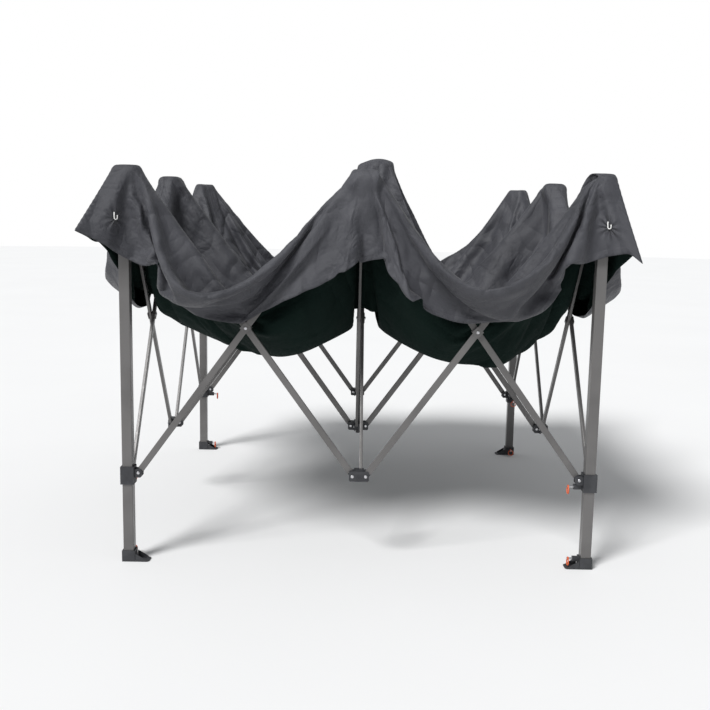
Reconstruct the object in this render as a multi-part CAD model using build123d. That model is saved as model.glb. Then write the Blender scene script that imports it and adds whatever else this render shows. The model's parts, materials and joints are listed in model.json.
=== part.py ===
from build123d import *
import os
from math import cos, radians, sin

# Pop up canopy of the 3 x 3 m class, standing part opened with its legs drawn in.
# A grid of three by three posts (four legs, four side hubs and a centre hub) is
# tied by twelve pairs of crossed bars.  mm, +Z up, origin on the ground under the
# centre post; the front is -Y.  Corners and sides are made once and turned about Z.

FIT = 0.1                 # clearance of fitted and moulded parts
PAST = 1.0                # cutters and joined solids run this far past a face

# ---- scissor frame ----------------------------------------------------------
BAR_LENGTH = 1410.0       # bar, end pivot to end pivot
BAR_ANGLE = 54.0          # slope of every bar as the frame stands
LOWER_PLANE = 357.0       # height of all lower bar pivots
CORNER_REACH = 42.0       # leg axis to bar pivot
SIDE_REACH = 26.0         # side hub axis to the pivots along the side
INWARD_REACH = 32.0       # side hub axis to the pivot of the inner pair
CENTRE_REACH = 36.0       # centre hub axis to its pivots
OPEN_ANGLE = 13.0         # slope of every bar with the frame fully open

BAR_DEPTH, BAR_THICK, BAR_WALL = 25.0, 12.5, 1.0
BAR_CORNER = 2.5          # outside corner radius of the bar tube
BAR_SIDE = 7.25           # bars of a pair run this far either side of the truss plane
TUBE_START = 16.0         # end pivot to the cut end of the tube
EYE_RADIUS, EYE_THICK = 11.0, 12.1
PLUG_GRIP = 32.0          # length of the end plug inside the tube
PLUG_EASE = 0.3           # plug tongue, less than the tube bore each side
PIVOT, BORE = 6.0, 6.1    # pivot bolt and running bore
HEAD, HEAD_HEIGHT, HEAD_BEVEL = 12.0, 4.0, 1.2
CROSS_PLATE, CROSS_THICK = 32.0, 2.5
SPACER, SPACER_THICK = 20.0, 1.6
BOLT_SLACK = 0.4          # crossing bolt, longer than what it clamps

# ---- nylon hubs -------------------------------------------------------------
SLOT = 12.7               # gap of every fork
EAR = 5.0                 # outer cheek of a fork
FORK_END = 13.0           # pivot to the end of the fork
FORK_START = 12.5         # pivot back to the root of the slot
HUB_HALF = 20.0           # half height of a hub
ARM_BEVEL = 5.0           # outer end edges of a hub arm
DIMPLE, DIMPLE_DEPTH = 9.0, 1.5         # round recess on the face of a side hub
MAST, MAST_WALL, MAST_BORE = 25.0, 1.5, 26.0
MAST_ABOVE, MAST_BELOW = 95.0, 32.0     # past the upper plane, past the lower plane
PLUG_UP, PLUG_DOWN, STOP_HEAD = 20.0, 15.0, 4.0   # mast end caps: grip above, grip below, head
GUIDE, GUIDE_LENGTH = 34.0, 190.0       # guide tube under the centre upper hub

# ---- legs -------------------------------------------------------------------
LEG, LEG_WALL, LEG_CORNER = 40.0, 1.5, 3.0
LEG_BOTTOM, LEG_PAST_PIVOT = 4.4, 12.0
SOCKET, SOCKET_BELOW = 50.0, 46.0
SLIDER, SLIDER_BORE = 52.0, 40.8
SLIDER_UP, SLIDER_DOWN = 24.0, 46.0     # above and below the lower plane
SLIDER_ARM_UP, SLIDER_ARM_DOWN = 14.0, 19.0
INNER, INNER_WALL, INNER_CORNER, INNER_LENGTH = 34.0, 1.5, 2.5, 1250.0
BUSH_HEAD, BUSH_GRIP = 12.0, 25.0       # top guide of the inner leg
LOCK_STEPS = (150.0, 250.0, 350.0, 450.0)           # leg lengths with a lock hole
LEG_TRAVEL = 540.0
FOOT_THICK, FOOT_REACH, FOOT_WIDTH, FOOT_CORNER = 4.0, 80.0, 50.0, 12.0
GUSSET, GUSSET_TALL, GUSSET_TIP = 4.0, 28.0, 3.0
PEG_HOLE, PEG_X, PEG_Y = 10.0, 60.0, 11.0
COLLAR_TOP = 44.0

# ---- spring pins with pull rings --------------------------------------------
PIN, PIN_BORE, PIN_HOLE = 8.0, 8.1, 9.0
SLIDER_PIN_DROP = 29.0    # below the lower plane
SLIDER_BOSS_END, SLIDER_RING_AT = 60.0, 80.5
FOOT_PIN_Z = 36.0
FOOT_BOSS_END, FOOT_RING_AT = 50.0, 66.5
BOSS_WIDTH, BOSS_TALL = 18.0, 16.0
RING_RADIUS, RING_WIRE = 14.0, 2.4
RING_HUB, RING_HUB_WALL = 6.0, 2.4
PIN_TIP = 0.4             # nose of the pin, off the face it locks into
PIN_TAIL = 5.0            # shaft beyond the ring

# ---- canopy sheet -----------------------------------------------------------
SHEET = 5.0               # solid thickness that stands for the folded, doubled cloth
REST_GAP = 0.6            # cloth above the hub tops
CELL_SAG, SPAN_SAG = 735.0, 988.0       # height in the cells and over the crossings
PEAK_HALF, DOME_HALF, DOME_RISE = 62.0, 22.0, 78.0
EDGE_PAST, FLARE = 30.0, 190.0          # roof edge and hem, past the leg axes
HEM_DROP_POST, HEM_DROP_SPAN = 300.0, 50.0

# ---- derived ----------------------------------------------------------------
RUN = BAR_LENGTH * cos(radians(BAR_ANGLE))
RISE = BAR_LENGTH * sin(radians(BAR_ANGLE))
POST = CORNER_REACH + SIDE_REACH + RUN  # spacing of the post grid
UPPER_PLANE = LOWER_PLANE + RISE
OPEN_PIN_Z = UPPER_PLANE - BAR_LENGTH * sin(radians(OPEN_ANGLE)) - SLIDER_PIN_DROP
FORK_HALF = BAR_SIDE + SLOT / 2 + EAR   # half width of every hub arm

UP = Vector(0, 0, 1)
FRONT, BACK, RIGHT, LEFT = Vector(0, -1, 0), Vector(0, 1, 0), Vector(1, 0, 0), Vector(-1, 0, 0)
CORNERS = ["front_left", "front_right", "back_right", "back_left"]
SIDES = ["front", "right", "back", "left"]


def box(x, y, z):
    """Box between two values on each axis."""
    size = [b - a for a, b in (x, y, z)]
    return Pos(*[(a + b) / 2 for a, b in (x, y, z)]) * Box(*size)


def rod(radius, start, end):
    """Cylinder between two points."""
    start, end = Vector(start), Vector(end)
    axis = end - start
    plane = Plane(origin=start, z_dir=axis)
    return plane.location * Cylinder(radius, axis.length, align=(Align.CENTER, Align.CENTER, Align.MIN))


def square_tube(size, wall, corner, z0, z1):
    """Upright square tube with rounded edges."""
    outer = RectangleRounded(size, size, corner)
    inner = RectangleRounded(size - 2 * wall, size - 2 * wall, corner - wall)
    return Pos(0, 0, z0) * extrude(outer - inner, z1 - z0)


def domed_bolt(start, end):
    """Pivot bolt between two outer faces, with a low domed head at each end."""
    start, end = Vector(start), Vector(end)
    along = (end - start).normalized()
    bolt = rod(PIVOT / 2, start - along * PAST, end + along * PAST)
    for face, out in ((start, -along), (end, along)):
        plane = Plane(origin=face, z_dir=out)
        head = Cylinder(HEAD / 2, HEAD_HEIGHT, align=(Align.CENTER, Align.CENTER, Align.MIN))
        head = chamfer(head.edges().group_by(Axis.Z)[-1], HEAD_BEVEL)
        bolt += plane.location * head
    return bolt


# ---- bars -------------------------------------------------------------------
def end_plug(at, sign):
    """Nylon end plug with its eye; at is the pivot along the bar, sign points into the tube."""
    eye = rod(EYE_RADIUS, (at, -EYE_THICK / 2, 0), (at, EYE_THICK / 2, 0))
    near, far = at, at + sign * (TUBE_START - FIT / 2)
    eye += box(sorted((near, far)), (-EYE_THICK / 2, EYE_THICK / 2), (-EYE_RADIUS, EYE_RADIUS))
    inset = BAR_WALL + FIT + PLUG_EASE
    half_y, half_z = BAR_THICK / 2 - inset, BAR_DEPTH / 2 - inset
    tongue = sorted((far - sign * PAST, far + sign * PLUG_GRIP))
    plug = eye + box(tongue, (-half_y, half_y), (-half_z, half_z))
    return plug - rod(BORE / 2, (at, -EYE_THICK, 0), (at, EYE_THICK, 0))


def cross_plate(y0, y1, turn):
    """Square washer plate on the outer face of a bar at the crossing."""
    side = CROSS_PLATE
    plate = Box(side, abs(y1 - y0), side)
    middle = BAR_LENGTH / 2
    plate = Pos(middle, (y0 + y1) / 2, 0) * Rot(0, turn, 0) * plate
    return plate - rod(BORE / 2, (middle, min(y0, y1) - PAST, 0), (middle, max(y0, y1) + PAST, 0))


def make_bar(carries_bolt):
    """Bar along +X from its first pivot; its partner crosses it at mid length."""
    section = RectangleRounded(BAR_THICK, BAR_DEPTH, BAR_CORNER)
    section -= RectangleRounded(BAR_THICK - 2 * BAR_WALL, BAR_DEPTH - 2 * BAR_WALL, BAR_CORNER - BAR_WALL)
    plane = Plane(origin=(TUBE_START, 0, 0), x_dir=(0, 1, 0), z_dir=(1, 0, 0))
    tube = extrude(plane * section, BAR_LENGTH - 2 * TUBE_START)
    middle, face = BAR_LENGTH / 2, BAR_THICK / 2
    tube -= rod(BORE / 2, (middle, -face - PAST, 0), (middle, face + PAST, 0))
    solids = [tube, end_plug(0, 1), end_plug(BAR_LENGTH, -1)]
    if carries_bolt:
        solids.append(cross_plate(face, face + CROSS_THICK, 45 - BAR_ANGLE))
        spacer = rod(SPACER / 2, (middle, -face, 0), (middle, -face - SPACER_THICK, 0))
        solids.append(spacer - rod(BORE / 2, (middle, 0, 0), (middle, -face - 2 * SPACER_THICK, 0)))
        far = 2 * BAR_SIDE + face + CROSS_THICK + BOLT_SLACK
        solids.append(domed_bolt((middle, face + CROSS_THICK, 0), (middle, -far, 0)))
    else:
        solids.append(cross_plate(-face, -face - CROSS_THICK, 45 + BAR_ANGLE))
    return Compound(children=solids)


BAR_A, BAR_B = make_bar(True), make_bar(False)


def place_bar(bar, start, heading, sign):
    """Bar moved so that its first pivot is at start; sign is -1 downhill, +1 uphill."""
    along = heading * cos(radians(BAR_ANGLE)) + UP * (sign * sin(radians(BAR_ANGLE)))
    side = UP.cross(heading)
    return bar.moved(Plane(origin=start, x_dir=along, z_dir=along.cross(side)).location)


def bar_pair(post, heading, reach):
    """The two crossed bars that leave a post: one from its upper hub, one from its lower hub."""
    side = UP.cross(heading)
    foot = post + heading * reach
    upper = foot + side * BAR_SIDE + UP * UPPER_PLANE
    lower = foot - side * BAR_SIDE + UP * LOWER_PLANE
    return place_bar(BAR_A, upper, heading, -1), place_bar(BAR_B, lower, heading, 1)


# ---- hubs -------------------------------------------------------------------
def hub_arm(heading, start, reach, z0, z1):
    """Solid arm of a hub towards one heading, with softened end edges."""
    length = reach + FORK_END - start
    arm = Box(length, 2 * FORK_HALF, z1 - z0, align=(Align.MIN, Align.CENTER, Align.MIN))
    arm = chamfer(arm.edges().filter_by(Axis.Y).group_by(Axis.X)[-1], ARM_BEVEL)
    return Plane(origin=heading * start + UP * z0, x_dir=heading, z_dir=UP).location * arm


def fork_cut(heading, reach, sign, z0, z1):
    """Slot and bolt bore of one fork; sign +1 on upper hubs, -1 on lower hubs."""
    length = FORK_START + FORK_END + PAST
    slot = Box(length, SLOT, z1 - z0 + 2 * PAST, align=(Align.MIN, Align.CENTER, Align.MIN))
    side = UP.cross(heading)
    origin = heading * (reach - FORK_START) + side * (sign * BAR_SIDE) + UP * (z0 - PAST)
    pivot = heading * reach
    across = side * (FORK_HALF + PAST)
    bore = rod(BORE / 2, pivot - across, pivot + across)
    return Plane(origin=origin, x_dir=heading, z_dir=UP).location * slot + bore


def fork_bolt(heading, reach):
    side = UP.cross(heading) * FORK_HALF
    return domed_bolt(heading * reach - side, heading * reach + side)


def make_hub(arms, sign, extra=None, bore=None, z0=-HUB_HALF, z1=HUB_HALF):
    """Hub around its own axis; arms is a list of (heading, root, reach)."""
    body = extra
    for heading, root, reach in arms:
        arm = hub_arm(heading, root, reach, z0, z1)
        body = arm if body is None else body + arm
    for heading, _, reach in arms:
        body -= fork_cut(heading, reach, sign, z0, z1)
    if bore is not None:
        body -= bore
    return Compound(children=[body] + [fork_bolt(h, r) for h, _, r in arms])


# a shallow round recess marks the flat outer face of every side hub
dimple = rod(DIMPLE, (0, -FORK_HALF - PAST, 0), (0, -FORK_HALF + DIMPLE_DEPTH, 0))
side_arms = [(RIGHT, 0, SIDE_REACH), (LEFT, 0, SIDE_REACH), (BACK, 0, INWARD_REACH)]
side_upper = make_hub(side_arms, 1, bore=dimple)
side_lower = make_hub(side_arms, -1, bore=dimple)

centre_arms = [(h, 0, CENTRE_REACH) for h in (FRONT, RIGHT, BACK, LEFT)]
guide = rod(GUIDE / 2, (0, 0, -GUIDE_LENGTH), (0, 0, HUB_HALF))
guide_bore = rod(MAST_BORE / 2, (0, 0, -GUIDE_LENGTH - PAST), (0, 0, HUB_HALF + PAST))
mast_seat = rod(MAST / 2 + FIT, (0, 0, -HUB_HALF - PAST), (0, 0, HUB_HALF + PAST))
centre_upper = make_hub(centre_arms, 1, extra=guide, bore=guide_bore)
centre_lower = make_hub(centre_arms, -1, bore=mast_seat)

mast_bottom, mast_top = LOWER_PLANE - MAST_BELOW, UPPER_PLANE + MAST_ABOVE - MAST / 2
mast_tube = rod(MAST / 2, (0, 0, mast_bottom), (0, 0, mast_top))
mast_inside = MAST / 2 - MAST_WALL
mast_tube -= rod(mast_inside, (0, 0, mast_bottom - PAST), (0, 0, mast_top + PAST))
dome = Pos(0, 0, mast_top) * Sphere(MAST / 2)
dome -= box((-MAST, MAST), (-MAST, MAST), (mast_top - MAST, mast_top))
dome += rod(mast_inside - FIT, (0, 0, mast_top - PLUG_UP), (0, 0, mast_top + PAST))
stop = rod(mast_inside - FIT, (0, 0, mast_bottom - PAST), (0, 0, mast_bottom + PLUG_DOWN))
stop += rod(MAST / 2 - PAST, (0, 0, mast_bottom - STOP_HEAD), (0, 0, mast_bottom - FIT))
mast = Compound(children=[mast_tube, dome, stop])


# ---- legs, made at their own axis for the front left corner -----------------
def leg_tube():
    """Outer leg, with lock holes for the slider pin and the leg pin on its +Y face."""
    tube = square_tube(LEG, LEG_WALL, LEG_CORNER, LEG_BOTTOM, UPPER_PLANE + LEG_PAST_PIVOT)
    for z in (OPEN_PIN_Z, FOOT_PIN_Z):
        tube -= rod(PIN_HOLE / 2, (0, LEG / 2 - 2 * LEG_WALL, z), (0, LEG / 2 + LEG_WALL, z))
    return Compound(children=[tube])


def leg_brackets():
    """Fork bracket on the leg top, and the lock collar at the bottom."""
    half = SOCKET / 2
    cap = box((-half, half), (-half, half), (-SOCKET_BELOW, HUB_HALF))
    arms = [(RIGHT, 0, CORNER_REACH), (BACK, 0, CORNER_REACH)]
    inside = LEG / 2 + FIT
    hollow = box((-inside, inside), (-inside, inside), (-SOCKET_BELOW - PAST, LEG_PAST_PIVOT + FIT))
    top = make_hub(arms, 1, extra=cap, bore=hollow)
    collar = box((-half, half), (-half, half), (LEG_BOTTOM + 2 * FIT, COLLAR_TOP))
    wide, tall = BOSS_WIDTH / 2, BOSS_TALL / 2
    collar += box((-wide, wide), (half - PAST, FOOT_BOSS_END), (FOOT_PIN_Z - tall, FOOT_PIN_Z + tall))
    collar -= box((-inside, inside), (-inside, inside), (0, COLLAR_TOP + PAST))
    collar -= rod(PIN_BORE / 2, (0, inside - PAST, FOOT_PIN_Z), (0, FOOT_BOSS_END + PAST, FOOT_PIN_Z))
    return Compound(children=[s.moved(Pos(0, 0, UPPER_PLANE)) for s in top.children] + [collar])


def slider():
    """Sliding bracket around the leg, with two forks and the boss of its spring pin."""
    half, hole = SLIDER / 2, SLIDER_BORE / 2
    sleeve = box((-half, half), (-half, half), (-SLIDER_DOWN, SLIDER_UP))
    wide, tall = BOSS_WIDTH / 2, BOSS_TALL / 2 + PAST
    z = -SLIDER_PIN_DROP
    sleeve += box((-wide, wide), (half - PAST, SLIDER_BOSS_END), (z - tall, z + tall))
    root = half - 2 * PAST
    arms = [(RIGHT, root, CORNER_REACH), (BACK, root, CORNER_REACH)]
    hollow = box((-hole, hole), (-hole, hole), (-SLIDER_DOWN - PAST, SLIDER_UP + PAST))
    hollow += rod(PIN_BORE / 2, (0, hole - PAST, z), (0, SLIDER_BOSS_END + PAST, z))
    made = make_hub(arms, -1, extra=sleeve, bore=hollow, z0=-SLIDER_ARM_DOWN, z1=SLIDER_ARM_UP)
    return made.moved(Pos(0, 0, LOWER_PLANE))


def pull_pin(nose, ring_at, z):
    """Spring pin along +Y with its pull ring hanging from the end."""
    tail = ring_at + PIN_TAIL
    shaft = rod(PIN / 2, (0, nose, z), (0, tail, z))
    hanging = Plane(origin=(0, ring_at, z - RING_RADIUS), z_dir=(0, 1, 0))
    ring = hanging.location * Torus(RING_RADIUS, RING_WIRE)
    hub = rod(PIN / 2 + RING_HUB_WALL, (0, ring_at - RING_HUB / 2, z), (0, ring_at + RING_HUB / 2, z))
    grip = ring + hub - rod(PIN / 2 + FIT / 2, (0, nose, z), (0, tail + PIN, z))
    return Compound(children=[shaft] + list(grip.solids()))


def inner_leg(heading):
    """Inner leg tube with its top guide, foot plate, gussets and peg holes."""
    base = FOOT_THICK
    tube = square_tube(INNER, INNER_WALL, INNER_CORNER, base, base + INNER_LENGTH)
    for step in (*LOCK_STEPS, LEG_TRAVEL):
        z = FOOT_PIN_Z + step
        tube -= rod(PIN_HOLE / 2, (0, INNER / 2 - 2 * INNER_WALL, z), (0, INNER / 2 + INNER_WALL, z))
    core = INNER / 2 - INNER_WALL - FIT - PAST
    top = base + INNER_LENGTH
    guide_half = LEG / 2 - LEG_WALL - 3 * FIT
    pad = RectangleRounded(2 * guide_half, 2 * guide_half, INNER_CORNER)
    bush = Pos(0, 0, top + FIT / 2) * extrude(pad, BUSH_HEAD)
    bush += box((-core, core), (-core, core), (top - BUSH_GRIP, top + PAST))
    half = FOOT_WIDTH / 2
    plate = box((-half, FOOT_REACH), (-half, half), (0, base))
    plate = fillet(plate.edges().filter_by(Axis.Z).group_by(Axis.X)[-1], FOOT_CORNER)
    for y in (-PEG_Y, PEG_Y):
        plate -= rod(PEG_HOLE / 2, (PEG_X, y, -PAST), (PEG_X, y, base + PAST))
    root, tip = half + 2 * PAST, FOOT_REACH - FOOT_CORNER
    outline = Polyline((root, 0), (root, GUSSET_TALL), (tip, GUSSET_TIP), (tip, 0), close=True)
    web = extrude(Plane.XZ * make_face(outline), -GUSSET)
    webs = [Pos(0, y, base) * web for y in (-half, half - GUSSET)]
    foot = Compound(children=[plate] + webs)
    if heading is BACK:
        foot = foot.rotate(Axis.Z, 90)
    return Compound(children=[tube, bush] + list(foot.solids()))


# ---- canopy sheet -----------------------------------------------------------
def level(value, low, high):
    """0 at low, 1 at high and beyond."""
    return min(max((value - low) / (high - low), 0.0), 1.0)


def at_post(value):
    """1 over a post line and past the roof edge, falling to 0 midway between posts."""
    value = abs(value)
    middle = POST / 2
    inner = level(middle - value, 0, middle - PEAK_HALF)
    outer = level(value, middle, POST - PEAK_HALF)
    return max(inner, outer)


def sheet_height(x, y):
    """Underside of the cloth: peaks over the posts, valleys over the crossings, bags between."""
    peak = UPPER_PLANE + HUB_HALF + REST_GAP
    a, b = at_post(x), at_post(y)
    height = CELL_SAG + (SPAN_SAG - CELL_SAG) * (a + b) + (peak - 2 * SPAN_SAG + CELL_SAG) * a * b
    if abs(x) <= DOME_HALF and abs(y) <= DOME_HALF:
        height += DOME_RISE
    drops = []
    for out, along in ((abs(x), b), (abs(y), a)):
        hem = HEM_DROP_SPAN + (HEM_DROP_POST - HEM_DROP_SPAN) * along
        drops.append(hem * level(out, POST + EDGE_PAST, POST + FLARE))
    return height - max(drops)


def canopy():
    """Closed solid between the underside and the top of the cloth."""
    half = [DOME_HALF, PEAK_HALF, POST / 2, POST - PEAK_HALF, POST + EDGE_PAST, POST + FLARE]
    grid = [-v for v in reversed(half)] + [0.0] + half
    count = len(grid)
    low = [[Vector(x, y, sheet_height(x, y)) for y in grid] for x in grid]
    high = [[p + UP * SHEET for p in row] for row in low]

    def triangle(a, b, c):
        return Face(Wire.make_polygon([a, b, c], close=True))

    faces = []
    for i in range(count - 1):
        for j in range(count - 1):
            for layer in (low, high):
                a, b, c, d = layer[i][j], layer[i + 1][j], layer[i + 1][j + 1], layer[i][j + 1]
                if (i < count // 2) == (j < count // 2):
                    faces += [triangle(a, b, c), triangle(a, c, d)]
                else:
                    faces += [triangle(a, b, d), triangle(b, c, d)]
    rim = [(k, 0) for k in range(count)] + [(count - 1, k) for k in range(1, count)]
    rim += [(k, count - 1) for k in range(count - 2, -1, -1)] + [(0, k) for k in range(count - 2, 0, -1)]
    for (i, j), (m, n) in zip(rim, rim[1:] + rim[:1]):
        a, b, c, d = low[i][j], low[m][n], high[m][n], high[i][j]
        faces += [triangle(a, b, c), triangle(a, c, d)]
    return Solid(Shell(faces))


# ---- all nodes --------------------------------------------------------------
nodes = {
    "canopy": canopy(),
    "hub_upper_centre": centre_upper.moved(Pos(0, 0, UPPER_PLANE)),
    "hub_lower_centre": centre_lower.moved(Pos(0, 0, LOWER_PLANE)),
    "mast": mast,
}
origin = Vector(0, 0, 0)
side_post, corner_post = FRONT * POST, (FRONT + LEFT) * POST
outward = [bar_pair(side_post, RIGHT, SIDE_REACH), bar_pair(side_post, LEFT, SIDE_REACH)]
inner = bar_pair(origin, FRONT, CENTRE_REACH)
feet = [inner_leg(RIGHT), inner_leg(BACK)]
tube, brackets, sleeve = leg_tube(), leg_brackets(), slider()
slider_pin = pull_pin(LEG / 2 + PIN_TIP, SLIDER_RING_AT, LOWER_PLANE - SLIDER_PIN_DROP)
leg_pin = pull_pin(INNER / 2 + PIN_TIP, FOOT_RING_AT, FOOT_PIN_Z)

for k, side in enumerate(SIDES):
    turn = Rot(0, 0, 90 * k)
    ahead, behind = SIDES[(k + 1) % 4], SIDES[(k + 3) % 4]
    for name, pair in ((ahead, outward[0]), (behind, outward[1]), ("centre", inner)):
        nodes[f"bar_{side}_{name}_a"] = pair[0].moved(turn)
        nodes[f"bar_{side}_{name}_b"] = pair[1].moved(turn)
    nodes[f"hub_upper_{side}"] = side_upper.moved(turn * Pos(*side_post) * Pos(0, 0, UPPER_PLANE))
    nodes[f"hub_lower_{side}"] = side_lower.moved(turn * Pos(*side_post) * Pos(0, 0, LOWER_PLANE))

for k, corner in enumerate(CORNERS):
    place = Rot(0, 0, 90 * k) * Pos(*corner_post)
    nodes[f"leg_{corner}"] = tube.moved(place)
    nodes[f"leg_brackets_{corner}"] = brackets.moved(place)
    nodes[f"slider_{corner}"] = sleeve.moved(place)
    nodes[f"slider_pin_{corner}"] = slider_pin.moved(place)
    nodes[f"leg_pin_{corner}"] = leg_pin.moved(place)
    nodes[f"inner_leg_{corner}"] = feet[k % 2].moved(place)

os.makedirs("parts", exist_ok=True)
for name, shape in nodes.items():
    export_step(shape, f"parts/{name}.step")
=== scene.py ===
import json
import math
from collections import namedtuple
import bmesh
import bpy
import numpy as np
from mathutils import Matrix, Vector

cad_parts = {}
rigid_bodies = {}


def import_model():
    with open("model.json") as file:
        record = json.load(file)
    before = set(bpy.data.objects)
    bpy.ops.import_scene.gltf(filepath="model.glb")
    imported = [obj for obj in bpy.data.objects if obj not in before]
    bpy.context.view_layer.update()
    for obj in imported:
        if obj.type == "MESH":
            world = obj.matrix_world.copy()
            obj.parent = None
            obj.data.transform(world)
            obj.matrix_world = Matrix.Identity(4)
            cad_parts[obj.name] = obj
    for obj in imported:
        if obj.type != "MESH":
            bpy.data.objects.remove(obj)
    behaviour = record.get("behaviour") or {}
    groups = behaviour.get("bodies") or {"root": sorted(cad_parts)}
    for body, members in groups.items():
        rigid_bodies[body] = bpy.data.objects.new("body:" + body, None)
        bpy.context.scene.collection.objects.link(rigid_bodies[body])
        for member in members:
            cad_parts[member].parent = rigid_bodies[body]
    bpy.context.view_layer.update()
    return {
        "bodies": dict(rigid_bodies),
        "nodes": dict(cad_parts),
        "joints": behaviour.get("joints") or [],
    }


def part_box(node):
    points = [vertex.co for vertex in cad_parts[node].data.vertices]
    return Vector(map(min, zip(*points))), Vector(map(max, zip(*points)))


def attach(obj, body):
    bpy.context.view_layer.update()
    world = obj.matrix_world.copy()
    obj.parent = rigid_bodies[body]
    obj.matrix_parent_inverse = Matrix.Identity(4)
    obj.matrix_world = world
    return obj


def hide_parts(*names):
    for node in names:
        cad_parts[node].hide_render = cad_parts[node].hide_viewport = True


# Pop up canopy, part opened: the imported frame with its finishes, and the cloth cover
# simulated from its cut size as the scissor frame draws in under it.  Metres, +Z up.

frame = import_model()
SCENE = bpy.context.scene
NODES, BODIES = frame["nodes"], frame["bodies"]

# ---- sizes of the frame, from its pivots --------------------------------------
PIVOTS = {j["name"]: Vector(j["pos_m"]) for j in frame["joints"] if j.get("pos_m")}
UPPER = PIVOTS["frame_fold"].z                          # upper bar pivots
RISE = UPPER - PIVOTS["hinge_centre_lower_front"].z     # upper pivots over lower ones
POST = -(PIVOTS["hinge_front_upper_left"].y + PIVOTS["hinge_front_lower_left"].y) / 2
RUN = PIVOTS["frame_fold"].y - PIVOTS["hinge_front_upper_inward"].y
BAR = math.hypot(RUN, RISE)
REACH = POST - RUN                                      # both hub reaches together
SLOPE = math.atan2(RISE, RUN)
HUB_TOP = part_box("hub_upper_front")[1].z
CORNER_TOP = max(HUB_TOP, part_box("leg_brackets_front_left")[1].z)
MAST_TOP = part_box("mast")[1].z
POSTS = [(i, j) for i in (-1, 0, 1) for j in (-1, 0, 1)]
CORNERS = [(-1, -1), (1, -1), (1, 1), (-1, 1)]

# ---- the cover as it is cut ----------------------------------------------------
CUT_SLOPE = math.radians(17)     # bar slope at which the cover lies flat on the frame
EDGE = 0.030                     # roof edge past the leg axes
VALANCE = 0.300                  # deep, seam to hem
HOOK_ALONG, HOOK_DOWN = 0.095, 0.195          # tie hooks, from the corner seam and the eave
CLOTH = 0.0012                   # thickness shown
EAVE_FALL = 0.5                  # slope of the roof edge beyond the posts, as cut
STAND_OFF, FLARE = 0.004, 0.020  # valance off the roof edge at its top, and more at its hem
ON_EDGE = 1e-4                   # how near to an edge of the cut still counts as on it


def spacing(slope):
    """Post to post, with every bar at that slope."""
    return REACH + BAR * math.cos(slope)


def mast_top(slope):
    """The mast stands on the lower centre hub, so it rises as the bars flatten."""
    return MAST_TOP + RISE - BAR * math.sin(slope)


CUT_POST = spacing(CUT_SLOPE)
CUT_HALF = CUT_POST + EDGE
CUT_PEAK = mast_top(CUT_SLOPE)

# ---- camera ---------------------------------------------------------------------
EYE = Vector((-0.034, -4.364, 1.3325))
TURN, DIP, ROLL = -0.0029, 0.1437, 0.0187     # radians: left, down, anticlockwise
LENS, SENSOR = 46.5, 36.0                     # mm


def make_camera():
    data = bpy.data.cameras.new("camera")
    data.lens, data.sensor_width = LENS, SENSOR
    camera = bpy.data.objects.new("camera", data)
    SCENE.collection.objects.link(camera)
    aim = Matrix.Rotation(TURN, 4, "Z") @ Matrix.Rotation(math.pi / 2 - DIP, 4, "X")
    camera.matrix_world = Matrix.Translation(EYE) @ aim @ Matrix.Rotation(ROLL, 4, "Z")
    SCENE.camera = camera


make_camera()


# ---- cutting the cover ----------------------------------------------------------
def cut_cover(cells):
    """The cover as cut: a low pyramid roof and four valances sewn round its edge.
    The attribute "plan" holds each point's place on the flat roof and its drop below it."""
    line = np.linspace(-CUT_HALF, CUT_HALF, cells + 1)
    step = line[1] - line[0]
    points, plan, faces = [], [], []
    for x in line:
        for y in line:
            out = max(abs(x), abs(y))
            if out <= CUT_POST:
                z = HUB_TOP + (CUT_PEAK - HUB_TOP) * (1 - out / CUT_POST)
            else:
                z = HUB_TOP - (out - CUT_POST) * EAVE_FALL
            points.append((x, y, z))
            plan.append((x, y, 0.0))

    def at(i, j):
        return i * (cells + 1) + j

    for i in range(cells):
        for j in range(cells):
            a, b, c, d = at(i, j), at(i + 1, j), at(i + 1, j + 1), at(i, j + 1)
            if (i < cells / 2) == (j < cells / 2):
                faces += [(a, b, c), (a, c, d)]
            else:
                faces += [(a, b, d), (b, c, d)]
    flat = [[plan[k][:2] for k in f] for f in faces]

    n = cells
    edge = [(i, 0) for i in range(n)] + [(n, j) for j in range(n)]
    edge += [(i, n) for i in range(n, 0, -1)] + [(0, j) for j in range(n, 0, -1)]
    above = [at(*k) for k in edge]
    rows = max(3, round(VALANCE / step))
    outward = [Vector((0, -1)), Vector((1, 0)), Vector((0, 1)), Vector((-1, 0))]
    for row in range(1, rows + 1):
        below = []
        for i, j in edge:
            x, y = line[i], line[j]
            share = row / rows
            off = STAND_OFF + FLARE * share
            side_x = (i == n) - (i == 0)
            side_y = (j == n) - (j == 0)
            z = HUB_TOP - EDGE * EAVE_FALL - VALANCE * share
            below.append(len(points))
            points.append((x + off * side_x, y + off * side_y, z))
            plan.append((x, y, VALANCE * share))
        for k in range(len(edge)):
            m = (k + 1) % len(edge)
            a, b, c, d = above[k], above[m], below[m], below[k]
            pair = [(a, d, b), (b, d, c)] if k % 2 else [(a, d, c), (a, c, b)]
            away = outward[k // n]
            for f in pair:
                faces.append(f)
                flat.append([tuple(Vector(plan[v][:2]) + away * plan[v][2]) for v in f])
        above = below

    mesh = bpy.data.meshes.new("cover")
    mesh.from_pydata(points, [], faces)
    store = mesh.attributes.new("plan", "FLOAT_VECTOR", "POINT")
    store.data.foreach_set("vector", np.array(plan, np.float32).ravel())
    uv = mesh.uv_layers.new(name="flat")
    uv.data.foreach_set("uv", np.array(flat, np.float32).ravel())
    mesh.update()
    return mesh


def coords(mesh):
    co = np.empty(len(mesh.vertices) * 3, np.float32)
    mesh.vertices.foreach_get("co", co)
    return co.reshape(-1, 3).astype(float)


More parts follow.
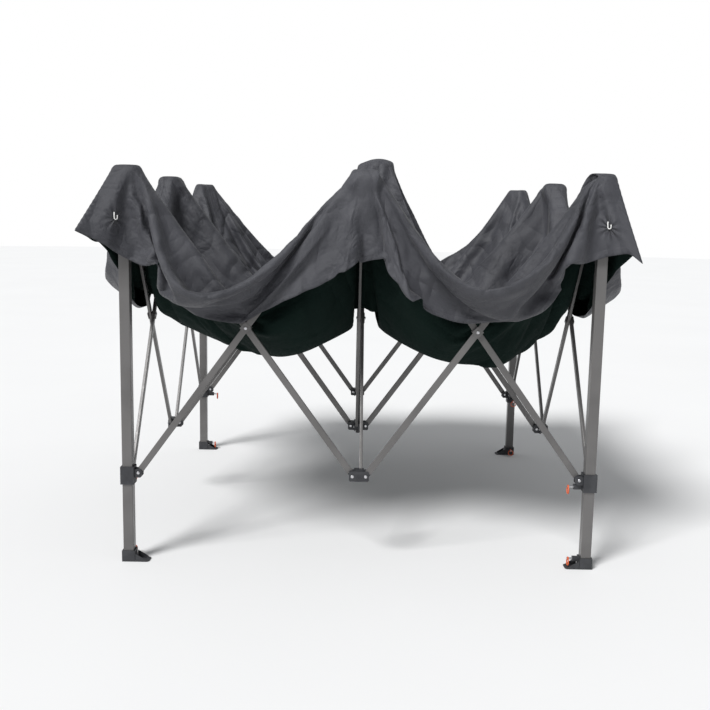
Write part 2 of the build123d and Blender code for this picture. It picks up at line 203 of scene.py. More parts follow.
def plan_of(mesh):
    plan = np.empty(len(mesh.vertices) * 3, np.float32)
    mesh.attributes["plan"].data.foreach_get("vector", plan)
    return plan.reshape(-1, 3).astype(float)


# ---- where the cover is held ------------------------------------------------------
# The sewn corners stand stiffly out from the legs: how far out, and how high.
LEFT_TIP, RIGHT_TIP, BACK_TIP = (0.150, 1.288), (0.125, 1.195), (0.130, 1.250)
SHOULDER, SHOULDER_DROP = 0.030, 0.004        # the eave corner, off the leg axis and down
CAP_RADIUS = 0.075               # stiffened peak
CAP_LEAN, CAP_TOP, CAP_DOME = 0.075, 1.628, 0.020
PATCH = 0.052                    # flat on each post top
ARM_REACH, ARM_HALF = 0.068, 0.024            # and over the arms of the corner brackets
CLEAR = 0.010                    # cloth over the post tops
# Folds in the front hem: distance along it from the middle, then where that point
# hangs: across, out past the front posts, and height.
FRONT_FOLDS = [
    (-CUT_HALF + 0.345, -POST + 0.159, 0.075, 1.182),
    (-CUT_HALF + 0.495, -POST + 0.124, 0.010, 1.067),
    (-0.58, -0.460, 0.030, 0.945),
    (-0.12, -0.070, 0.085, 1.150),
    (0.00, -0.015, -0.010, 1.180),
    (0.11, 0.078, 0.000, 1.200),
    (0.33, 0.186, 0.095, 1.046),
    (0.84, 0.657, 0.035, 1.000),
    (CUT_HALF - 0.465, POST - 0.151, 0.020, 1.095),
    (CUT_HALF - 0.325, POST - 0.154, 0.070, 1.213),
]
BELLY_AT, BELLY = 0.74, 0.050    # slack of the two front cells: its place and size in the cut
BELLIES = [(-1, -0.430, -0.50, 0.780), (1, 0.533, -0.50, 0.742)]


def held_points(plan, cut):
    """{vertex: where it is held once the frame has drawn in}."""
    held = {}
    roof = plan[:, 2] == 0
    for i, j in POSTS:
        away = np.hypot(plan[:, 0] - i * CUT_POST, plan[:, 1] - j * CUT_POST)
        if (i, j) == (0, 0):
            for k in np.nonzero(roof & (away <= CAP_RADIUS))[0]:
                dome = CAP_DOME * (away[k] / CAP_RADIUS) ** 2
                held[k] = (cut[k][0] + CAP_LEAN, cut[k][1], CAP_TOP - dome)
            continue
        over = away <= PATCH
        if i and j:
            x, y = abs(plan[:, 0] - i * CUT_POST), abs(plan[:, 1] - j * CUT_POST)
            over |= (np.maximum(x, y) <= ARM_REACH) & (np.minimum(x, y) <= ARM_HALF)
        near = np.nonzero(roof & over)[0]
        shift = POST - CUT_POST
        for k in near if len(near) else [np.argmin(np.where(roof, away, np.inf))]:
            top = CORNER_TOP if i and j else HUB_TOP
            held[k] = (cut[k][0] + i * shift, cut[k][1] + j * shift, top + CLEAR)
    for i, j in CORNERS:
        out, height = BACK_TIP if j > 0 else LEFT_TIP if i < 0 else RIGHT_TIP
        shoulder = POST + SHOULDER
        eave = Vector((i * shoulder, j * shoulder, CORNER_TOP + CLEAR - SHOULDER_DROP))
        tip = Vector((i * (POST + out), j * (POST + out), height))
        seam = (plan[:, 0] * i > CUT_HALF - ON_EDGE) & (plan[:, 1] * j > CUT_HALF - ON_EDGE)
        for k in np.nonzero(seam)[0]:
            held[k] = tuple(eave.lerp(tip, plan[k][2] / VALANCE))
    hem = (plan[:, 1] < -CUT_HALF + ON_EDGE) & (plan[:, 2] > VALANCE - ON_EDGE)
    for along, x, out, z in FRONT_FOLDS:
        k = np.argmin(np.where(hem, abs(plan[:, 0] - along), np.inf))
        held[k] = (x, -POST - out, z)
    for i, x, y, z in BELLIES:
        across, back = plan[:, 0] - i * BELLY_AT, plan[:, 1] + BELLY_AT
        for k in np.nonzero(roof & (np.hypot(across, back) <= BELLY))[0]:
            held[k] = (x + across[k], y + back[k], z)
    return held


# ---- what it lies on ---------------------------------------------------------------
SKIN = 0.006                     # clearance kept between cloth and frame
TRUSS_HALF = 0.014               # the two bars of a pair, side by side
TRUSS_END, TRUSS_FOOT = 0.03, 1.9             # of its width and of its notch's depth
BAR_COVER = 0.018                # bar centreline to the top of the pair
LEG_HALF, SIDE_HALF, CENTRE_HALF, MAST_HALF = 0.025, 0.039, 0.049, 0.013
LEG_DEEP, HUB_DEEP, MAST_DEEP = 0.6, 0.02, 0.3
TOP_GAP = 0.002                  # the blocks stop this far short of the real tops


def solid(name, points, faces):
    mesh = bpy.data.meshes.new(name)
    mesh.from_pydata(points, [], faces)
    o = bpy.data.objects.new(name, mesh)
    SCENE.collection.objects.link(o)
    o.modifiers.new("collision", "COLLISION")
    o.collision.thickness_outer = SKIN
    o.collision.thickness_inner = 0.02
    o.collision.cloth_friction = 1.0
    o.collision.damping = 0.5
    return o


def block(half, bottom, top):
    points = [(x, y, z) for x in (-half, half) for y in (-half, half) for z in (bottom, top)]
    faces = [(0, 1, 3, 2), (4, 6, 7, 5), (0, 4, 5, 1), (2, 3, 7, 6), (0, 2, 6, 4), (1, 5, 7, 3)]
    return solid("post", points, faces)


def truss():
    """The notch between two posts: the upper halves of one crossed pair, unit wide and deep."""
    near, far = TRUSS_END, 1 - TRUSS_END
    outline = [(near, 0), (0.5, -1), (far, 0), (far, -TRUSS_FOOT), (near, -TRUSS_FOOT)]
    n = len(outline)
    points = [(x, y, z) for y in (-TRUSS_HALF, TRUSS_HALF) for x, z in outline]
    faces = [(0, 4, 1), (1, 4, 3), (1, 3, 2), (5, 6, 9), (6, 8, 9), (6, 7, 8)]
    faces += [(k, (k + 1) % n, (k + 1) % n + n, k + n) for k in range(n)]
    return solid("truss", points, faces)


def colliders():
    """[(object, kind, grid place)]"""
    top = HUB_TOP - UPPER - TOP_GAP
    made = []
    for i, j in POSTS:
        if i and j:
            made.append((block(LEG_HALF, -LEG_DEEP, top), "post", (i, j)))
        else:
            half = SIDE_HALF if i or j else CENTRE_HALF
            made.append((block(half, -HUB_DEEP, top), "post", (i, j)))
        for across, along in ((1, 0), (0, 1)):
            if (i + across, j + along) in POSTS:
                o = truss()
                o.rotation_euler.z = math.pi / 2 * along
                made.append((o, "truss", (i, j)))
    made.append((block(MAST_HALF, -MAST_DEEP, -TOP_GAP), "mast", (0, 0)))
    return made


def close_frame(made, slope, at_frame):
    """Keys the colliders to where the frame has them at that slope."""
    apart, deep = spacing(slope), BAR * math.sin(slope) / 2
    for o, kind, (i, j) in made:
        height = {"post": UPPER, "truss": UPPER + BAR_COVER, "mast": mast_top(slope)}[kind]
        o.location = (i * apart, j * apart, height)
        o.keyframe_insert("location", frame=at_frame)
        if kind == "truss":
            o.scale = (apart, 1, deep)
            o.keyframe_insert("scale", frame=at_frame)


def steady(action):
    for curve in action.fcurves:
        for key in curve.keyframe_points:
            key.interpolation = "LINEAR"


# ---- simulation --------------------------------------------------------------------
CELLS, CLOSING, SETTLING = 64, 40, 36         # cells across the roof, and frames
REFINING = 12                    # frames
CLOSING_KEYS = 8                 # times the colliders are placed as the frame draws in
COARSE_GAP, COARSE_BENDING = 0.008, 0.10
FINE_GAP, FINE_BENDING = 0.006, 0.03


def simulate(o, frames, self_gap, bending):
    cloth = o.modifiers.new("cloth", "CLOTH")
    s, c = cloth.settings, cloth.collision_settings
    s.quality = 6
    s.mass = 0.3
    s.air_damping = 1.0
    s.tension_stiffness, s.compression_stiffness = 40, 0.5
    s.bending_stiffness = bending
    s.tension_damping = s.compression_damping = 15
    s.bending_damping = 1.0
    s.vertex_group_mass, s.pin_stiffness = "held", 5.0
    if "cut" in o.data.shape_keys.key_blocks:
        s.rest_shape_key = o.data.shape_keys.key_blocks["cut"]
    c.collision_quality, c.distance_min = 3, SKIN
    c.use_self_collision, c.self_distance_min, c.self_friction = True, self_gap, 5
    cloth.point_cache.frame_start, cloth.point_cache.frame_end = 1, frames
    SCENE.frame_start, SCENE.frame_end = 1, frames
    for f in range(1, frames + 1):
        SCENE.frame_set(f)
    shown = o.evaluated_get(bpy.context.evaluated_depsgraph_get())
    mesh = bpy.data.meshes.new_from_object(shown)
    result = coords(mesh)
    bpy.data.meshes.remove(mesh)
    o.modifiers.remove(cloth)
    SCENE.frame_set(1)
    return result


def hold(o, indices):
    group = o.vertex_groups.new(name="held")
    group.add([int(k) for k in indices], 1.0, "REPLACE")


def draw_in(cells, closing, settling):
    """The cover as cut, over the frame as it draws in from the cut slope to where it stands."""
    mesh = cut_cover(cells)
    o = bpy.data.objects.new("canopy_cloth", mesh)
    SCENE.collection.objects.link(o)
    cut, plan = coords(mesh), plan_of(mesh)
    held = held_points(plan, cut)
    hold(o, held)
    o.shape_key_add(name="Basis")
    key = o.shape_key_add(name="drawn in")
    for k, p in held.items():
        key.data[int(k)].co = p
    for value, at_frame in ((0, 1), (1, closing)):
        key.value = value
        key.keyframe_insert("value", frame=at_frame)
    steady(mesh.shape_keys.animation_data.action)
    made = colliders()
    for k in range(CLOSING_KEYS + 1):
        share = k / CLOSING_KEYS
        apart = CUT_POST + (POST - CUT_POST) * share
        close_frame(made, math.acos((apart - REACH) / BAR), 1 + (closing - 1) * share)
    for c, _, _ in made:
        steady(c.animation_data.action)
    draped = simulate(o, closing + settling, COARSE_GAP, COARSE_BENDING)
    for c, _, _ in made:
        c.animation_data_clear()
    return o, cut, draped, made


def refine(o, cut, draped, settling):
    """Halves the mesh and lets the cover settle again, so that the cloth its coarse folds
    hid comes out as finer ones."""
    mesh = o.data
    o.shape_key_clear()
    mesh.vertices.foreach_set("co", draped.astype(np.float32).ravel())
    o.shape_key_add(name="Basis")
    key = o.shape_key_add(name="cut")
    for k, p in enumerate(cut):
        key.data[k].co = p
    bm = bmesh.new()
    bm.from_mesh(mesh)
    bmesh.ops.subdivide_edges(bm, edges=bm.edges[:], cuts=1, use_grid_fill=True)
    bm.to_mesh(mesh)
    bm.free()
    o.vertex_groups.clear()
    plan = plan_of(mesh)
    whole = np.array([p.co[:] for p in mesh.shape_keys.key_blocks["cut"].data])
    held = held_points(plan, whole)
    hold(o, held)
    for k, p in held.items():
        mesh.shape_keys.key_blocks["Basis"].data[int(k)].co = p
        mesh.vertices[int(k)].co = p
    mesh.shape_keys.key_blocks["cut"].value = 0.0
    return simulate(o, settling, FINE_GAP, FINE_BENDING)


def settle_cover():
    o, cut, draped, made = draw_in(CELLS, CLOSING, SETTLING)
    close_frame(made, SLOPE, 1)
    draped = refine(o, cut, draped, REFINING)
    for c, _, _ in made:
        bpy.data.objects.remove(c)
    o.shape_key_clear()
    o.vertex_groups.clear()
    o.data.vertices.foreach_set("co", draped.astype(np.float32).ravel())
    o.data.shade_smooth()
    o.data.update()
    SCENE.frame_set(1)
    return o


cover = settle_cover()


# ---- node trees ----------------------------------------------------------------------
class Finish:
    """A material and short ways to build its nodes: every call makes one node, and its
    inputs are numbers, colours or the outputs of others."""

    def __init__(self, name, **surface):
        self.material = bpy.data.materials.new(name)
        self.material.use_nodes = True
        self.tree = self.material.node_tree
        self.surface = self.tree.nodes["Principled BSDF"]
        for socket, value in surface.items():
            self.set(socket, value)

    def set(self, socket, value):
        self.plug(self.surface.inputs[socket.replace("_", " ")], value)

    def plug(self, socket, value):
        if isinstance(value, bpy.types.NodeSocket):
            self.tree.links.new(value, socket)
        elif socket.type == "RGBA":
            socket.default_value = (*value, 1.0)
        else:
            socket.default_value = value

    def node(self, kind, inputs, out=0, **settings):
        n = self.tree.nodes.new("ShaderNode" + kind)
        for name, value in settings.items():
            setattr(n, name, value)
        for socket, value in inputs.items():
            self.plug(n.inputs[socket], value)
        return n.outputs[out]

    def math(self, operation, a, b=0.0):
        return self.node("Math", {0: a, 1: b}, operation=operation)

    def plus(self, a, b):
        return self.math("ADD", a, b)

    def minus(self, a, b):
        return self.math("SUBTRACT", a, b)

    def times(self, a, b):
        return self.math("MULTIPLY", a, b)

    def sin(self, value, period):
        return self.math("SINE", self.times(value, 2 * math.pi / period))

    def ramp(self, value, low, high, to_low=0.0, to_high=1.0):
        """value from low..high, to to_low..to_high, smoothly."""
        inputs = {0: value, 1: low, 2: high, 3: to_low, 4: to_high}
        return self.node("MapRange", inputs, interpolation_type="SMOOTHSTEP")

    def noise(self, where, scale, detail=2.0, roughness=0.5):
        inputs = {"Vector": where, "Scale": scale, "Detail": detail, "Roughness": roughness}
        return self.node("TexNoise", inputs)

    def cells(self, where, scale):
        return self.node("TexVoronoi", {"Vector": where, "Scale": scale})

    def creases(self, where, across, along):
        """Sharp wandering folds, so many to the metre across and along; 0 in each fold."""
        stretched = self.node("Mapping", {"Vector": where, "Scale": (across, along, 1.0)})
        return self.math("ABSOLUTE", self.minus(self.noise(stretched, 1.0, 1.0), 0.5))

    def mix(self, share, a, b):
        return self.node("Mix", {0: share, 6: a, 7: b}, out=2, data_type="RGBA")

    def bump(self, height, distance, strength, normal=None):
        inputs = {"Height": height, "Distance": distance, "Strength": strength}
        if normal is not None:
            inputs["Normal"] = normal
        return self.node("Bump", inputs)

    def place(self):
        return self.node("TexCoord", {}, out=3)

    def worn_edges(self, radius):
        """1 along the edges of the part, 0 on its faces."""
        soft = self.node("Bevel", {"Radius": radius}, samples=4)
        flat = self.node("NewGeometry", {}, out=1)
        same = self.node("VectorMath", {0: soft, 1: flat}, out=1, operation="DOT_PRODUCT")
        return self.ramp(same, 0.75, 0.97, 1.0, 0.0)


THREAD = 0.0013                  # metres a yarn of the weave
YARN_RISE = 0.00012              # relief of the weave, and of its uneven yarns
HIP_SEAM, EAVE_SEAM, HEM = 0.022, 0.020, 0.050          # doubled cloth, wide
DOUBLED, DOUBLED_EDGE = 0.0008, 0.0015        # its rise, and how softly that ends
STITCH_IN, STITCH_PITCH, STITCH_RISE = 0.003, 0.0062, 0.0005
STITCH_CORE, STITCH_EDGE = 0.0004, 0.0009     # half widths of a stitch
STITCH_GAP = -0.45               # of the sine along the row, below which it is under the cloth
# Creases: folds to the metre across, along, and their depth in metres.
LONG_CREASES = ((2.4, 7.0, 0.042), (8.0, 3.2, 0.037))
FINE_CREASES = ((14.0, 22.0, 0.0125), (47.0, 33.0, 0.0042))
WANDER = (0.10, 0.10, 0.0)       # metres the creases stray
GATHERS, GATHER_RISE, GATHER_FROM, GATHER_TO = 9.0, 0.0035, 0.004, 0.075
SHADOW = (0.012, 0.012, 0.013)   # between the yarns


def cloth_finish(name, deep, pale, roughness, sheen, gloss):
    """Coated plain weave, creased from its bag, sewn along the hips, eaves and hem."""
    f = Finish(name, Specular_IOR_Level=gloss, Sheen_Weight=sheen, Sheen_Roughness=0.4)
    flat = f.node("UVMap", {}, uv_map="flat")
    u = f.node("SeparateXYZ", {0: flat})
    v = u.node.outputs[1]
    size_u, size_v = f.math("ABSOLUTE", u), f.math("ABSOLUTE", v)
    far = f.math("MAXIMUM", size_u, size_v)

    # folded in the bag: long wandering creases everywhere, finer ones in patches
    wander = f.node("TexNoise", {"Vector": flat, "Scale": 5.0}, out=1)
    bent = f.node("VectorMath", {0: wander, 1: WANDER, 2: flat}, operation="MULTIPLY_ADD")
    crumple = 0.0
    for across, along, depth in FINE_CREASES:
        crumple = f.plus(crumple, f.times(f.creases(bent, across, along), depth))
    crumple = f.times(crumple, f.ramp(f.noise(flat, 1.9), 0.38, 0.62, 0.2, 1.0))
    for across, along, depth in LONG_CREASES:
        crumple = f.plus(crumple, f.times(f.creases(bent, across, along), depth))

    # gathered where a hook is tied through the valance
    across = f.minus(size_u, CUT_HALF - HOOK_ALONG)
    down = f.minus(size_v, CUT_HALF + HOOK_DOWN)
    away = f.math("SQRT", f.plus(f.times(across, across), f.times(down, down)))
    rays = f.math("SINE", f.times(f.math("ARCTAN2", down, across), GATHERS))
    near = f.ramp(away, GATHER_FROM, GATHER_TO, GATHER_RISE, 0.0)
    crumple = f.plus(crumple, f.times(rays, near))

    # seams: hips of the roof, the eave, and the turned hem
    weave = f.times(f.sin(u, THREAD), f.sin(v, THREAD))
    slub = f.noise(flat, 260.0, 3.0)
    height = f.times(f.plus(weave, slub), YARN_RISE)
    hip = f.times(f.minus(size_u, size_v), math.sqrt(0.5))
    on_roof = f.math("LESS_THAN", far, CUT_HALF)
    seams = ((hip, HIP_SEAM, on_roof), (f.minus(far, CUT_HALF), EAVE_SEAM, 1.0),
             (f.minus(far, CUT_HALF + VALANCE), HEM, 1.0))
    dash = f.math("GREATER_THAN", f.sin(f.plus(u, v), STITCH_PITCH), STITCH_GAP)
    stitches = 0.0
    for line, width, where in seams:
        away = f.math("ABSOLUTE", line)
        band = f.ramp(away, width / 2, width / 2 + DOUBLED_EDGE, DOUBLED, 0.0)
        height = f.plus(height, f.times(band, where))
        row = f.math("ABSOLUTE", f.minus(away, width / 2 - STITCH_IN))
        stitch = f.times(f.ramp(row, STITCH_CORE, STITCH_EDGE, 1.0, 0.0), dash)
        stitches = f.math("MAXIMUM", stitches, f.times(stitch, where))
    height = f.plus(height, f.times(stitches, STITCH_RISE))
    f.set("Normal", f.bump(height, 1.0, 1.0, f.bump(crumple, 1.0, 1.0)))

    tone = f.plus(f.times(f.noise(flat, 2.3, 4.0, 0.6), 0.7), f.times(slub, 0.3))
    colour = f.mix(f.ramp(tone, 0.35, 0.65), deep, pale)
    threads = f.mix(f.ramp(weave, -0.6, 0.6, 0.0, 0.18), colour, SHADOW)
    f.set("Base Color", f.mix(f.times(stitches, 0.6), threads, pale))
    f.set("Roughness", f.ramp(slub, 0.3, 0.7, roughness - 0.06, roughness + 0.08))
    return f.material


PEEL, PEEL_RISE = 900.0, 0.00025              # orange peel of the powder coat
RUBBED, HANDLED = 0.0012, 0.0015              # worn edges, metres wide
GRAIN, GRAIN_RISE = 1400.0, 0.0002            # spark eroded mould texture
SPANGLE, SPANGLE_RISE = 320.0, 0.00015        # zinc crystals


def paint_finish(name, colour, worn, metallic, roughness):
    """Powder coat: fine orange peel, faint handling marks, rubbed edges."""
    f = Finish(name, Metallic=metallic, Specular_IOR_Level=0.5)
    where = f.place()
    drawn = f.node("Mapping", {"Vector": where, "Scale": (60.0, 60.0, 7.0)})
    marks = f.noise(drawn, 1.0, 4.0, 0.7)
    edges = f.ramp(f.noise(where, 35.0, 3.0), 0.45, 0.6, 0.0, 0.8)
    edges = f.times(f.worn_edges(RUBBED), edges)
    dark = tuple(0.82 * c for c in colour)
    base = f.mix(f.ramp(f.noise(where, 5.0, 3.0), 0.35, 0.65), dark, colour)
    f.set("Base Color", f.mix(edges, base, worn))
    f.set("Roughness", f.ramp(marks, 0.4, 0.75, roughness, roughness + 0.16))
    f.set("Normal", f.bump(f.noise(where, PEEL), PEEL_RISE, 0.6))
    return f.material


def moulded_finish(name, colour, pale, roughness=0.5):
    """Moulded nylon: spark eroded texture, paler where handled."""
    f = Finish(name)
    where = f.place()
    cloud = f.noise(where, 28.0, 4.0)
    base = f.mix(f.ramp(cloud, 0.35, 0.7, 0.0, 0.5), colour, pale)
    f.set("Base Color", f.mix(f.times(f.worn_edges(HANDLED), 0.45), base, pale))
    f.set("Roughness", f.ramp(cloud, 0.3, 0.7, roughness - 0.05, roughness + 0.12))
    f.set("Normal", f.bump(f.cells(where, GRAIN), GRAIN_RISE, 0.5))
    return f.material


def metal_finish(name, colour, roughness):
    """Zinc plated steel: spangle and dull patches."""
    f = Finish(name, Metallic=1.0)
    where = f.place()
    dull = f.noise(where, 90.0, 4.0)
    dark = tuple(0.7 * c for c in colour)
    f.set("Base Color", f.mix(f.ramp(dull, 0.35, 0.7), colour, dark))
    f.set("Roughness", f.ramp(dull, 0.3, 0.7, roughness, roughness + 0.18))
    f.set("Normal", f.bump(f.cells(where, SPANGLE), SPANGLE_RISE, 0.35))
    return f.material


# colours are the deep or clean one, then the pale or worn one
FINISHES = {
    "cover": cloth_finish(
        "cover", (0.038, 0.039, 0.047), (0.067, 0.068, 0.079), 0.54, sheen=0.10, gloss=0.45),
    # the underside: the cloth's dark coating, made near black with painted shade and tinted green
    # with a painted reflection of grass
    "coating_with_painted_shade": cloth_finish(
        "coating_with_painted_shade", (0.0038, 0.010, 0.0082), (0.0065, 0.016, 0.013), 0.80, sheen=0.0, gloss=0.05),
    "powder": paint_finish("powder", (0.150, 0.145, 0.143), (0.38, 0.37, 0.36), 0.30, 0.30),
    "steel": paint_finish("steel", (0.17, 0.165, 0.16), (0.40, 0.39, 0.38), 0.35, 0.34),
    "black": paint_finish("black", (0.022, 0.022, 0.024), (0.16, 0.16, 0.16), 0.0, 0.38),
    "plate": paint_finish("plate", (0.045, 0.046, 0.048), (0.25, 0.25, 0.25), 0.3, 0.4),
    "nylon": moulded_finish("nylon", (0.026, 0.027, 0.031), (0.060, 0.062, 0.068)),
    "zinc": metal_finish("zinc", (0.66, 0.66, 0.68), 0.28),
    "ring": moulded_finish("ring", (0.62, 0.085, 0.022), (0.78, 0.19, 0.07), 0.38),
    "hook": moulded_finish("hook", (0.82, 0.82, 0.80), (0.90, 0.90, 0.88), 0.35),
}


# ---- finishes on the CAD parts ---------------------------------------------------------
def shells(mesh):
    """For each separate solid in a mesh: the faces it has, and its lowest and highest corner."""
    co = coords(mesh)
    _, place = np.unique(np.round(co, 5), axis=0, return_inverse=True)
    place = place.ravel()
    faces = [[place[k] for k in p.vertices] for p in mesh.polygons]
    label = np.arange(place.max() + 1)
    pairs = np.array([(f[0], k) for f in faces for k in f[1:]])
    while True:
        low = np.minimum(label[pairs[:, 0]], label[pairs[:, 1]])
        new = label.copy()
        np.minimum.at(new, pairs[:, 0], low)
        np.minimum.at(new, pairs[:, 1], low)
        new = new[new]
        if (new == label).all():
            break
        label = new
    of_face = np.array([label[f[0]] for f in faces])
    of_point = label[place]
    return [
        (np.nonzero(of_face == k)[0], co[of_point == k].min(0), co[of_point == k].max(0))
        for k in np.unique(of_face)
    ]


def dress(name, choose):
    """Gives each solid of a node the finish that choose(solid) names."""
    mesh = NODES[name].data
    found = shells(mesh)
    volume = [np.prod(high - low) for _, low, high in found]
    mesh.materials.clear()
    used = []
    lo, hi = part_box(name)
    middle = np.array((lo + hi) / 2)
    for k, (faces, low, high) in enumerate(found):
        largest = k == int(np.argmax(volume))
        finish = choose(Solid(high - low, (low + high) / 2 - middle, largest))
        if finish not in used:
            used.append(finish)
            mesh.materials.append(FINISHES[finish])
        for f in faces:
            mesh.polygons[int(f)].material_index = used.index(finish)


Solid = namedtuple("Solid", "size offset largest")    # offset from the middle of its node
BOLT = 0.0135                    # no bolt head is wider
TUBE_LONG = 1.0                  # every tube is longer, and nothing else is
BAR_END = 0.4                    # the plugs lie further out from the middle of a bar
PLATE, PLATE_GAUGE = 0.0025, 0.0006           # crossing plate, and its tolerance


def hub_parts(solid):
    return "zinc" if np.sort(solid.size)[1] < BOLT else "nylon"


def bar_parts(solid):
    if solid.size.max() > TUBE_LONG:
        return "powder"
    if np.linalg.norm(solid.offset) > BAR_END:
        return "nylon"
    return "plate" if abs(solid.size.min() - PLATE) < PLATE_GAUGE else "zinc"


def inner_leg_parts(solid):
    return "steel" if solid.size.max() > TUBE_LONG else "nylon"


def mast_parts(solid):
    return "black" if solid.size.max() > TUBE_LONG else "nylon"


def leg_parts(solid):
    return "powder" if solid.largest else "nylon"


def pin_parts(solid):
    return "ring" if solid.largest else "zinc"


KINDS = [
    ("leg_pin", pin_parts), ("slider_pin", pin_parts), ("leg_brackets", hub_parts),
    ("leg", leg_parts), ("bar", bar_parts), ("mast", mast_parts),
    ("inner_leg", inner_leg_parts), ("hub", hub_parts), ("slider", hub_parts),
]
for name in NODES:
    if name != "canopy":
        dress(name, next(parts for start, parts in KINDS if name.startswith(start)))


# ---- how the cover follows the frame --------------------------------------------------------
FOLD_RANGE = next(j["range_deg"] for j in frame["joints"] if j["name"] == "frame_fold")
OPEN_SLOPE = SLOPE + math.radians(FOLD_RANGE[0])
OPEN_POST = spacing(OPEN_SLOPE)
OPEN_LIFT = mast_top(OPEN_SLOPE) - mast_top(SLOPE)
OPEN_PEAK = mast_top(OPEN_SLOPE) + CAP_TOP - MAST_TOP
VALLEY_DROP = 0.8                # share of the centre's drop that the slack takes as it folds


def opened(plan):
    """Where each point of the cover is on the opened frame: a taut hipped roof, valances hanging."""
    spread = OPEN_POST / CUT_POST
    out = np.maximum(abs(plan[:, 0]), abs(plan[:, 1])) / CUT_POST
    roof = HUB_TOP + CLEAR + (OPEN_PEAK - HUB_TOP) * np.clip(1 - out, 0, 1)
    place = plan * spread
    place[:, 2] = roof - plan[:, 2]
    hang = (plan[:, 2] > 0) * (STAND_OFF + FLARE * plan[:, 2] / VALANCE)
    for axis in (0, 1):
        edge = abs(plan[:, axis]) > CUT_HALF - ON_EDGE
        place[:, axis] += np.sign(plan[:, axis]) * edge * hang
    return place


def limited(body, axis, sign):
    """An empty that goes along with a body on one axis, and only to one side of rest."""
    helper = bpy.data.objects.new(f"{body} {axis}{sign:+d}", None)
    SCENE.collection.objects.link(helper)
    along = helper.constraints.new("COPY_LOCATION")
    along.target = BODIES[body]
    along.use_x, along.use_y, along.use_z = (axis == a for a in "xyz")
    limit = helper.constraints.new("LIMIT_LOCATION")
    setattr(limit, f"use_{'min' if sign > 0 else 'max'}_{axis}", True)
    return helper


SIDES = [
    ("upper_right", "x", 1), ("upper_left", "x", -1),
    ("upper_back", "y", 1), ("upper_front", "y", -1),
]
OUTWARD = [limited(body, axis, sign) for body, axis, sign in SIDES]
INWARD = [limited(body, axis, -sign) for body, axis, sign in SIDES]
RISING, FALLING = limited("centre_lower", "z", 1), limited("centre_lower", "z", -1)


def follow(o, shift, rest, sag):
    """Hooks the points of o to what carries the cover, so that each has moved by its shift
    when the frame is fully open, closes up with the posts as it folds, and then sags."""
    out = shift / (OPEN_POST - POST, OPEN_POST - POST, OPEN_LIFT)
    carried = []
    for k, (_, axis, sign) in enumerate(SIDES):
        column = "xy".index(axis)
        carried.append((OUTWARD[k], sign * out[:, column]))
        carried.append((INWARD[k], sign * rest[:, column] / POST))
    carried += [(RISING, out[:, 2]), (RISING, out[:, 2] - 1), (FALLING, sag)]
    bm = bmesh.new()
    bm.from_mesh(o.data)
    layer = bm.verts.layers.deform.verify()
    for k, (_, share) in enumerate(carried):
        o.vertex_groups.new(name=f"carried {k}")
        share = np.clip(share, 0, 1)
        for v in bm.verts:
            if share[v.index] > 0:
                v[layer][k] = share[v.index]
    bm.to_mesh(o.data)
    bm.free()
    for k, (carrier, _) in enumerate(carried):
        hook = o.modifiers.new(f"carried {k}", "HOOK")
        hook.object = carrier
        hook.vertex_group = f"carried {k}"
        hook.falloff_type = "NONE"
        hook.matrix_inverse = Matrix.Identity(4)


# ---- the cover, finished ------------------------------------------------------------------
def slack_of(rest):
    """How far each point sinks as the frame folds, as a share of the centre's drop."""
    return VALLEY_DROP * np.clip((HUB_TOP - rest[..., 2]) / (RISE / 2), 0, 1)


def finish_cover(o):
    o.data.materials.append(FINISHES["cover"])
    # the underside, given by the solidify wall: dark coating with painted shade and a painted green
    # grass reflection
    o.data.materials.append(FINISHES["coating_with_painted_shade"])
    plan, rest = plan_of(o.data), coords(o.data)
    follow(o, opened(plan) - rest, rest, slack_of(rest))
    smooth = o.modifiers.new("smooth", "SUBSURF")
    smooth.levels = smooth.render_levels = 1
    wall = o.modifiers.new("wall", "SOLIDIFY")
    wall.thickness, wall.offset = CLOTH, 0.0
    wall.material_offset = 1
    wall.use_rim = True
    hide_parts("canopy")
    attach(o, "centre_upper")


finish_cover(cover)


# ---- tie hooks on the valances ---------------------------------------------------------------
HOOK_WIRE, HOOK_BEND, HOOK_SHANK, HOOK_NOSE = 0.0021, 0.0065, 0.020, 0.009
HOOK_STAND = 0.006               # wire axis off the cloth
HOOK_TURNS, HOOK_SIDES = 10, 8   # steps round the bend, and round the wire


def hook_path():
    """Middle line of the bent wire: across and up, in the plane of the cloth."""
    turns = [math.pi * k / HOOK_TURNS for k in range(HOOK_TURNS + 1)]
    bend = [(HOOK_BEND * math.cos(a), -HOOK_BEND * math.sin(a)) for a in turns]
    return [(HOOK_BEND, HOOK_SHANK)] + bend + [(-HOOK_BEND, HOOK_NOSE)]


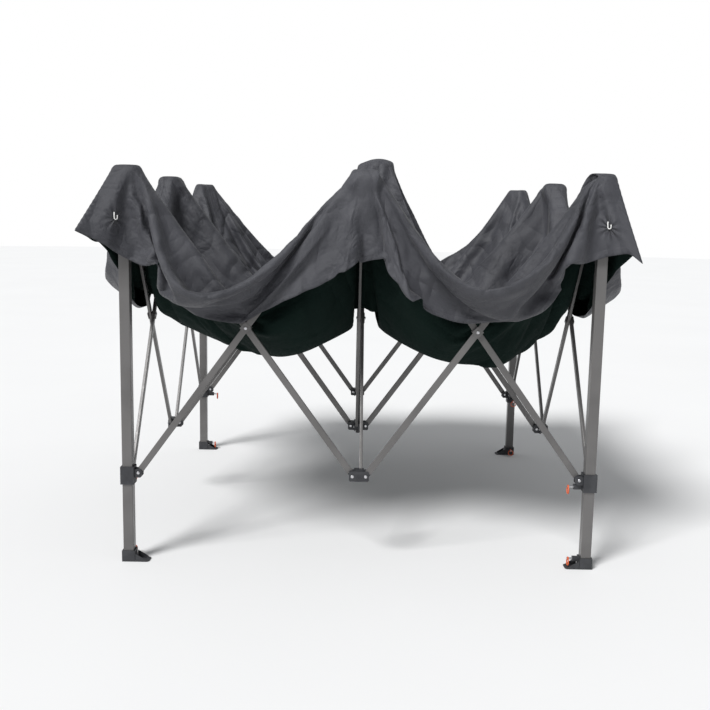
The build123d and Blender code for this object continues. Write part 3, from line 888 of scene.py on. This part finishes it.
def make_hook(name, i, j):
    """One bent wire hook, hanging in front of the valance by its place in the cut."""
    plan, rest = plan_of(cover.data), coords(cover.data)
    spot = (i * (CUT_HALF - HOOK_ALONG), j * CUT_HALF, HOOK_DOWN)
    k = int(np.argmin(np.linalg.norm(plan - spot, axis=1)))
    anchor, placed = Vector(rest[k]), Vector(opened(plan)[k])
    out = Vector(cover.data.vertices[k].normal)
    out *= math.copysign(1, out.y * j)
    side = out.cross(Vector((0, 0, 1))).normalized()
    up = side.cross(out)
    path, sides = hook_path(), HOOK_SIDES
    here, there, faces = [], [], []
    for n, (across, height) in enumerate(path):
        before, after = path[max(n - 1, 0)], path[min(n + 1, len(path) - 1)]
        along = Vector((after[0] - before[0], after[1] - before[1])).normalized()
        for m in range(sides):
            a = 2 * math.pi * m / sides
            x = across - along.y * HOOK_WIRE * math.cos(a)
            z = height + along.x * HOOK_WIRE * math.cos(a)
            y = HOOK_STAND + HOOK_WIRE * math.sin(a)
            here.append(anchor + side * x + up * z + out * y)
            there.append(placed + Vector((-j * x, j * y, z)))
        if n:
            first = (n - 1) * sides
            faces += [(first + m, first + (m + 1) % sides, first + (m + 1) % sides + sides,
                       first + m + sides) for m in range(sides)]
    faces += [tuple(range(sides)), tuple(range((len(path) - 1) * sides, len(path) * sides))]
    mesh = bpy.data.meshes.new(name)
    mesh.from_pydata(here, [], faces)
    bm = bmesh.new()
    bm.from_mesh(mesh)
    bmesh.ops.recalc_face_normals(bm, faces=bm.faces[:])
    bm.to_mesh(mesh)
    bm.free()
    mesh.shade_smooth()
    mesh.materials.append(FINISHES["hook"])
    hook = bpy.data.objects.new(name, mesh)
    SCENE.collection.objects.link(hook)
    slack = np.full(len(here), slack_of(rest[k]))
    follow(hook, np.array(there) - np.array(here), np.tile(rest[k], (len(here), 1)), slack)
    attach(hook, "centre_upper")


for i, j in CORNERS:
    make_hook(f"hook_{'front' if j < 0 else 'back'}_{'left' if i < 0 else 'right'}", i, j)


# ---- floor and light -----------------------------------------------------------------------
def make_floor():
    mesh = bpy.data.meshes.new("floor")
    bm = bmesh.new()
    bmesh.ops.create_circle(bm, cap_ends=True, segments=96, radius=40.0)
    bm.to_mesh(mesh)
    bm.free()
    floor = bpy.data.objects.new("floor", mesh)
    SCENE.collection.objects.link(floor)
    floor.location.z = -0.0005
    for leg in (name for name in BODIES if name.startswith("inner_leg")):
        under = floor.constraints.new("FLOOR")
        under.target, under.floor_location = BODIES[leg], "FLOOR_NEGATIVE_Z"
    f = Finish("floor", Roughness=0.9)
    f.set("Base Color", f.mix(f.noise(f.place(), 0.7, 3.0), (0.86, 0.86, 0.86), (0.90, 0.90, 0.90)))
    mesh.materials.append(f.material)


SKY, SUN = 0.38, 3.1
SKY_BLUE = (0.96, 0.98, 1.0, 1.0)
SUN_HEIGHT, SUN_ROUND, SUN_WIDTH = math.radians(48), math.radians(38), math.radians(20)


def make_light():
    """Soft daylight: a pale sky all round and one wide sun; the backdrop is plain white."""
    world = bpy.data.worlds.new("sky")
    world.use_nodes = True
    tree = world.node_tree
    sky = tree.nodes["Background"]
    sky.inputs["Strength"].default_value = SKY
    sky.inputs["Color"].default_value = SKY_BLUE
    white = tree.nodes.new("ShaderNodeBackground")
    white.inputs["Color"].default_value = (1.0, 1.0, 1.0, 1.0)
    rays = tree.nodes.new("ShaderNodeLightPath")
    mix = tree.nodes.new("ShaderNodeMixShader")
    tree.links.new(rays.outputs["Is Camera Ray"], mix.inputs[0])
    tree.links.new(sky.outputs[0], mix.inputs[1])
    tree.links.new(white.outputs[0], mix.inputs[2])
    tree.links.new(mix.outputs[0], tree.nodes["World Output"].inputs[0])
    SCENE.world = world
    SCENE.view_settings.view_transform = "Standard"
    data = bpy.data.lights.new("sun", "SUN")
    data.energy, data.angle = SUN, SUN_WIDTH
    lamp = bpy.data.objects.new("sun", data)
    SCENE.collection.objects.link(lamp)
    lamp.rotation_euler = (math.radians(90) - SUN_HEIGHT, 0, -SUN_ROUND)


make_floor()
make_light()
